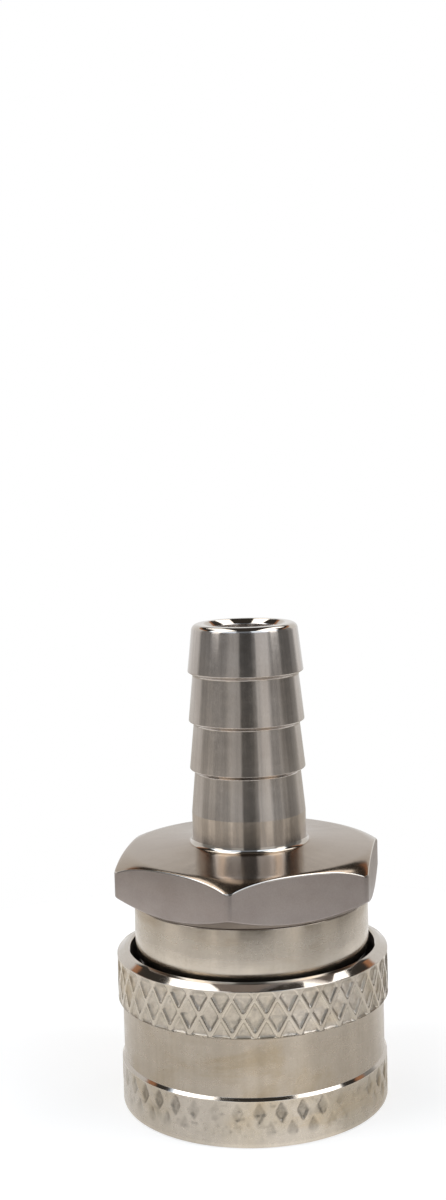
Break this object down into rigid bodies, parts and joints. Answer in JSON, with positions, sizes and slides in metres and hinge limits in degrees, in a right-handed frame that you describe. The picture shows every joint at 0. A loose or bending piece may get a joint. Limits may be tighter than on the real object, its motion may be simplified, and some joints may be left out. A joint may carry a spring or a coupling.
{
  "type": "quick disconnect coupler",
  "caption": "Straight-through ball-lock socket in stainless steel with a hex and hose barb; a knurled spring-loaded sleeve is drawn back to release the plug.",
  "frame": {"origin": "on the turning axis, in the plane of the sleeve's lower face, which is what the part stands on", "axes": "+Z along the turning axis, from the socket's mouth to the hose end; two of the hex's flats face +X and -X, and corners point along +Y and -Y"},
  "size_m": [0.033, 0.0346, 0.0581],
  "materials": {
    "turned_steel": "satin stainless steel, turned and milled",
    "sleeve_steel": "satin stainless steel, turned and knurled",
    "ball_steel": "polished stainless steel",
    "spring_steel": "drawn stainless spring steel",
    "silicone": "matte silicone rubber",
    "ptfe": "waxy matte PTFE"
  },
  "bodies": {
    "socket": {"hose_barb_adapter": "turned_steel", "socket_body": "turned_steel", "retaining_ring": "spring_steel", "plug_oring": "silicone", "adapter_gasket": "ptfe"},
    "spring": {"sleeve_spring": "spring_steel"},
    "sleeve": {"locking_sleeve": "sleeve_steel"},
    "ball_01": {"locking_ball_01": "ball_steel"},
    "ball_02": {"locking_ball_02": "ball_steel"},
    "ball_03": {"locking_ball_03": "ball_steel"},
    "ball_04": {"locking_ball_04": "ball_steel"},
    "ball_05": {"locking_ball_05": "ball_steel"},
    "ball_06": {"locking_ball_06": "ball_steel"},
    "ball_07": {"locking_ball_07": "ball_steel"},
    "ball_08": {"locking_ball_08": "ball_steel"},
    "ball_09": {"locking_ball_09": "ball_steel"},
    "ball_10": {"locking_ball_10": "ball_steel"},
    "ball_11": {"locking_ball_11": "ball_steel"},
    "ball_12": {"locking_ball_12": "ball_steel"}
  },
  "joints": [
    {"name": "sleeve_spin", "type": "hinge", "parent": "socket", "child": "spring", "pos_m": [0, 0, 0.009], "axis": [0, 0, 1], "continuous": true},
    {"name": "sleeve_slide", "type": "slide", "parent": "spring", "child": "sleeve", "axis": [0, 0, 1], "range_m": [0, 0.005], "stiffness_N_per_m": 2000, "springref_m": -0.006, "deforming": ["sleeve_spring"]},
    {"name": "ball_01_slide", "type": "slide", "parent": "socket", "child": "ball_01", "axis": [0, -1, 0], "range_m": [0, 0.0011]},
    {"name": "ball_02_slide", "type": "slide", "parent": "socket", "child": "ball_02", "axis": [0.5, -0.866, 0], "range_m": [0, 0.0011]},
    {"name": "ball_03_slide", "type": "slide", "parent": "socket", "child": "ball_03", "axis": [0.866, -0.5, 0], "range_m": [0, 0.0011]},
    {"name": "ball_04_slide", "type": "slide", "parent": "socket", "child": "ball_04", "axis": [1, 0, 0], "range_m": [0, 0.0011]},
    {"name": "ball_05_slide", "type": "slide", "parent": "socket", "child": "ball_05", "axis": [0.866, 0.5, 0], "range_m": [0, 0.0011]},
    {"name": "ball_06_slide", "type": "slide", "parent": "socket", "child": "ball_06", "axis": [0.5, 0.866, 0], "range_m": [0, 0.0011]},
    {"name": "ball_07_slide", "type": "slide", "parent": "socket", "child": "ball_07", "axis": [0, 1, 0], "range_m": [0, 0.0011]},
    {"name": "ball_08_slide", "type": "slide", "parent": "socket", "child": "ball_08", "axis": [-0.5, 0.866, 0], "range_m": [0, 0.0011]},
    {"name": "ball_09_slide", "type": "slide", "parent": "socket", "child": "ball_09", "axis": [-0.866, 0.5, 0], "range_m": [0, 0.0011]},
    {"name": "ball_10_slide", "type": "slide", "parent": "socket", "child": "ball_10", "axis": [-1, 0, 0], "range_m": [0, 0.0011]},
    {"name": "ball_11_slide", "type": "slide", "parent": "socket", "child": "ball_11", "axis": [-0.866, -0.5, 0], "range_m": [0, 0.0011]},
    {"name": "ball_12_slide", "type": "slide", "parent": "socket", "child": "ball_12", "axis": [-0.5, -0.866, 0], "range_m": [0, 0.0011]}
  ],
  "couplings": [
    {"joint": "ball_01_slide", "follows": "sleeve_slide", "ratio": 0.22},
    {"joint": "ball_02_slide", "follows": "sleeve_slide", "ratio": 0.22},
    {"joint": "ball_03_slide", "follows": "sleeve_slide", "ratio": 0.22},
    {"joint": "ball_04_slide", "follows": "sleeve_slide", "ratio": 0.22},
    {"joint": "ball_05_slide", "follows": "sleeve_slide", "ratio": 0.22},
    {"joint": "ball_06_slide", "follows": "sleeve_slide", "ratio": 0.22},
    {"joint": "ball_07_slide", "follows": "sleeve_slide", "ratio": 0.22},
    {"joint": "ball_08_slide", "follows": "sleeve_slide", "ratio": 0.22},
    {"joint": "ball_09_slide", "follows": "sleeve_slide", "ratio": 0.22},
    {"joint": "ball_10_slide", "follows": "sleeve_slide", "ratio": 0.22},
    {"joint": "ball_11_slide", "follows": "sleeve_slide", "ratio": 0.22},
    {"joint": "ball_12_slide", "follows": "sleeve_slide", "ratio": 0.22}
  ]
}
